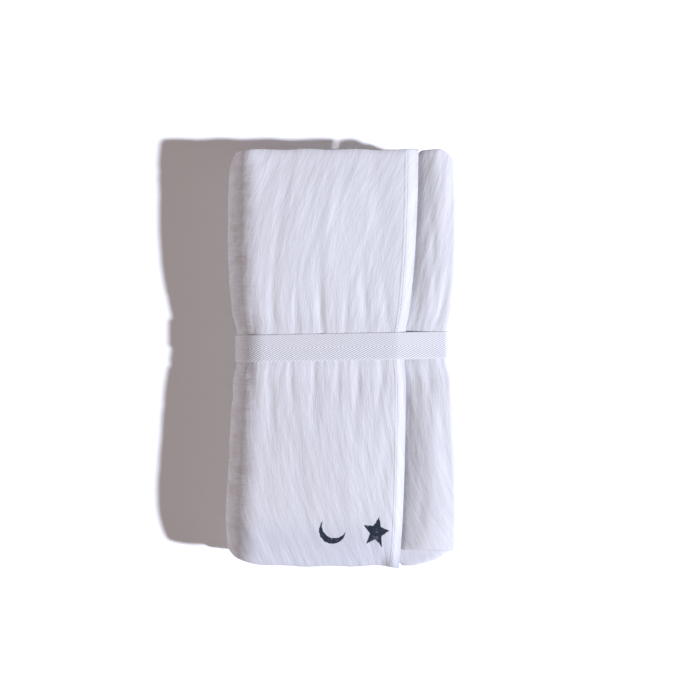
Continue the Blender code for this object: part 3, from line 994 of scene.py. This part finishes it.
# painted shade: the face is painted cooler and darker towards the near end
near_end_shade = cloth.math("MULTIPLY", cloth.ramp(y_mm, -92.0, -112.0), cloth.ramp(y_mm, -142.0, -126.0))
near_end_shade = cloth.math("MULTIPLY", near_end_shade, cloth.ramp(x_mm, -90.0, -60.0))
near_end_shade = cloth.math("MULTIPLY", near_end_shade, NEAR_END_SHADE_SHARE)
cloth_colour = cloth.mix(near_end_shade, cloth_colour, NEAR_END_PAINTED_SHADE)
print("near end tinted by", NEAR_END_SHADE_SHARE, "at most")

# %% [markdown]
# The wrap is pulled round the left side by the tape, so the cloth there is ribbed across, with soft tucks.
# The ribs' troughs and the tucks are painted darker and warmer: painted shade in them, on top of their bump.

# %% Ribs where the wrap turns down the left side, with painted shade in them
WRAP_RIB_PAINTED_SHADE = (0.585, 0.57, 0.58, 1)
WRAP_TUCK_PAINTED_SHADE = (0.55, 0.51, 0.515, 1)
WRAP_FADE = (-52.0, -70.0)  # where it begins on the shoulder
WRAP_END = (-150.0, -135.0)  # where it has faded on the underside
on_wrap = cloth.math("MULTIPLY", cloth.ramp(x_mm, *WRAP_FADE), cloth.ramp(x_mm, *WRAP_END))
ribs_across = cloth.stretched(x_mm, 9.0, y_mm, 0.95, 17.0, detail=2.0)
patches = cloth.ramp(cloth.stretched(x_mm, 16.0, y_mm, 9.0, 21.0, detail=2.0), 0.42, 0.74)
wrap_depth = cloth.math("MULTIPLY", on_wrap, cloth.math("SUBTRACT", ribs_across, patches))
# painted shade: the ribs' troughs and the soft tucks are painted darker and warmer
rib_shade = cloth.math("MULTIPLY", on_wrap, cloth.ramp(ribs_across, 0.64, 0.34))
cloth_colour = cloth.mix(rib_shade, cloth_colour, WRAP_RIB_PAINTED_SHADE)
cloth_colour = cloth.mix(cloth.math("MULTIPLY", on_wrap, patches), cloth_colour, WRAP_TUCK_PAINTED_SHADE)
print("ribs and soft patches added on the wrap")

# %% [markdown]
# The free edge is a real cut edge of the square, so it carries the blanket's hem: a narrow folded band
# and one row of stitches.

# %% Hem along the free edge: a folded band with a row of stitches
HEM_WIDTH = 7.0
HEM_SOFTNESS = 0.35
STITCH_PITCH = 2.4
STITCH_SHARE = 0.68  # of the pitch, the rest is the gap between two stitches
STITCH_INSET = 1.2  # from the hem's inner edge
STITCH_HALF_WIDTHS = (0.32, 0.12)  # where it fades out, and where it is full
from_edge = cloth.math("SUBTRACT", OUTER_END_X / MM, x_mm)
stitch_count = cloth.math("DIVIDE", y_mm, STITCH_PITCH)
in_stitch = cloth.math("LESS_THAN", cloth.math("FRACT", stitch_count), STITCH_SHARE)
from_row = cloth.math("ABSOLUTE", cloth.math("SUBTRACT", from_edge, HEM_WIDTH - STITCH_INSET))
near_row = cloth.ramp(from_row, *STITCH_HALF_WIDTHS)
stitches = cloth.math("MULTIPLY", near_row, in_stitch)
hem_step = cloth.ramp(from_edge, HEM_WIDTH + HEM_SOFTNESS, HEM_WIDTH - HEM_SOFTNESS)
print(f"hem {HEM_WIDTH} mm wide with a stitch every {STITCH_PITCH} mm")

# %% [markdown]
# The print is a generic pair of marks brushed in dark slate near the near end: a crescent moon lying on
# its back and a star. Each is worked out from distances on the flat cloth: the crescent is one disc less
# another, and the star's side is a straight line in a fifth of a turn, folded at every tip and notch. Noise
# on the distances gives the rough edge of a dry brush, and the ink takes less well between the threads.

# %% Tools for brushed marks
INK = (0.022, 0.030, 0.046, 1)
INK_EDGE = 0.2
INK_TAKES = (0.35, 0.85)
BRUSH_ROUGHNESS = 0.6
grain = cloth.stretched(x_mm, 1.6, y_mm, 1.6, 31.0, detail=3.0)
brush = cloth.math("MULTIPLY_ADD", grain, 2 * BRUSH_ROUGHNESS, -BRUSH_ROUGHNESS)


def offset_from(x, y):
    """How far every place on the cloth is from one place, along each direction."""
    return cloth.math("SUBTRACT", x_mm, x), cloth.math("SUBTRACT", y_mm, y)


def distance_from(x, y):
    """How far every place on the cloth is from one place."""
    squares = [cloth.math("MULTIPLY", side, side) for side in offset_from(x, y)]
    return cloth.math("SQRT", cloth.math("ADD", *squares))


def inked(reach, limit):
    """1 where a place is nearer than the limit, fading to 0 over the brush's rough edge."""
    return cloth.ramp(cloth.math("ADD", reach, brush), limit + INK_EDGE, limit - INK_EDGE)


print("brush roughness", BRUSH_ROUGHNESS, "mm")

# %% Print: a crescent moon and a star
Disc = namedtuple("Disc", "x y radius")
MOON = Disc(-7.6, -103.2, 8.1)
MOON_CUT = Disc(-6.3, -100.4, 7.5)
Star = namedtuple("Star", "x y tip notch_share points first_tip")
STAR = Star(20.4, -104.6, 9.8, 0.46, 5, np.radians(80))
moon_disc = inked(distance_from(MOON.x, MOON.y), MOON.radius)
moon_cut = inked(distance_from(MOON_CUT.x, MOON_CUT.y), MOON_CUT.radius)
crescent = cloth.math("MULTIPLY", moon_disc, cloth.math("SUBTRACT", 1.0, moon_cut))

star_x, star_y = offset_from(STAR.x, STAR.y)
half_point = np.pi / STAR.points
turned = cloth.math("SUBTRACT", cloth.math("ARCTAN2", star_y, star_x), STAR.first_tip)
from_tip = cloth.math("ABSOLUTE", cloth.math("WRAP", turned, half_point, -half_point))
notch_x, notch_y = STAR.notch_share * np.cos(half_point), STAR.notch_share * np.sin(half_point)
side_angle = float(np.arctan2(1 - notch_x, notch_y))
facing = cloth.math("COSINE", cloth.math("SUBTRACT", from_tip, side_angle))
star_reach = cloth.math("MULTIPLY", distance_from(STAR.x, STAR.y), facing)
star = inked(star_reach, STAR.tip * float(np.cos(side_angle)))

ink = cloth.math("MAXIMUM", crescent, star)
ink = cloth.math("MULTIPLY", ink, cloth.ramp(weave, *INK_TAKES))
cloth_colour = cloth.mix(ink, cloth_colour, INK)
print(f"moon {2 * MOON.radius} mm and star {2 * STAR.tip} mm across added")

# %% [markdown]
# All the patterns press into the surface too, from the broad crinkles down to single threads. Cotton
# muslin is matt, so it is rough with little sheen.

# %% Muslin's bumps and sheen
normal = cloth.bump(broad, 0.00030, 0.8)
normal = cloth.bump(fine, 0.00016, 0.8, normal)
normal = cloth.bump(wrap_depth, 0.00038, 1.0, normal)
normal = cloth.bump(cloth.math("SUBTRACT", hem_step, stitches), 0.00016, 0.8, normal)
normal = cloth.bump(weave, 0.00008, 0.7, normal)
cloth.plug(normal, cloth.shader.inputs["Normal"])
cloth.plug(cloth_colour, cloth.shader.inputs["Base Color"])
cloth.shader.inputs["Roughness"].default_value = 0.92
cloth.shader.inputs["Specular IOR Level"].default_value = 0.15
blanket.data.materials.clear()
blanket.data.materials.append(muslin)
print("muslin has", len(muslin.node_tree.nodes), "nodes")

# %% [markdown]
# ## Twill tape
#
# The tape is a herringbone twill: ribs slant one way above its middle line and the other way below it,
# between two plain selvedges. The ribs are painted lighter on their crests and darker in their grooves,
# painted light and shade on top of their bump, and fluff varies their tone at random.

# %% Twill material
TWILL_GROOVE_SHADE = (0.50, 0.50, 0.53, 1)
TWILL_CREST_LIGHT = (0.76, 0.76, 0.775, 1)
SELVEDGE = (0.66, 0.66, 0.68, 1)
SELVEDGE_FROM_MIDDLE = (6.7, 7.0)
RIB_SHARE = 0.65  # of a thread's height, the rest is fluff
twill = bpy.data.materials.new("white twill")
band = Nodes(twill)
along_mm, across_mm = map_in_mm(band, "along_tape", tape_length, TAPE_WIDTH)
fluff = band.stretched(along_mm, 0.35, across_mm, 0.35, 0.0, detail=2.0)
from_middle = band.math("ABSOLUTE", band.math("SUBTRACT", across_mm, TAPE_WIDTH / MM / 2))
along_phase = band.math("MULTIPLY", along_mm, ribs * MM / tape_length)
across_phase = band.math("MULTIPLY", from_middle, MM / RIB_SPACING)
phase = band.math("SUBTRACT", along_phase, across_phase)
rib = band.math("MULTIPLY_ADD", band.math("COSINE", band.math("MULTIPLY", phase, 2 * np.pi)), 0.5, 0.5)
selvedge = band.ramp(from_middle, *SELVEDGE_FROM_MIDDLE)
# the thread's height gives the bump; as colour it is painted light on the rib crests and painted shade in the
# grooves
thread_height_and_shade = band.math("MULTIPLY_ADD", fluff, 1 - RIB_SHARE, band.math("MULTIPLY", rib, RIB_SHARE))
twill_colour = band.mix(thread_height_and_shade, TWILL_GROOVE_SHADE, TWILL_CREST_LIGHT)
twill_colour = band.mix(selvedge, twill_colour, SELVEDGE)
band.plug(band.bump(thread_height_and_shade, 0.00022, 0.8), band.shader.inputs["Normal"])
band.plug(twill_colour, band.shader.inputs["Base Color"])
band.shader.inputs["Roughness"].default_value = 0.85
band.shader.inputs["Specular IOR Level"].default_value = 0.2
tape.data.materials.clear()
tape.data.materials.append(twill)
print("twill has", len(twill.node_tree.nodes), "nodes")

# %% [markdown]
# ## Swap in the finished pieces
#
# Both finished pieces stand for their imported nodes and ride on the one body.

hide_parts("swaddle")
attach(blanket, "root")
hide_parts("tie_tape")
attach(tape, "root")
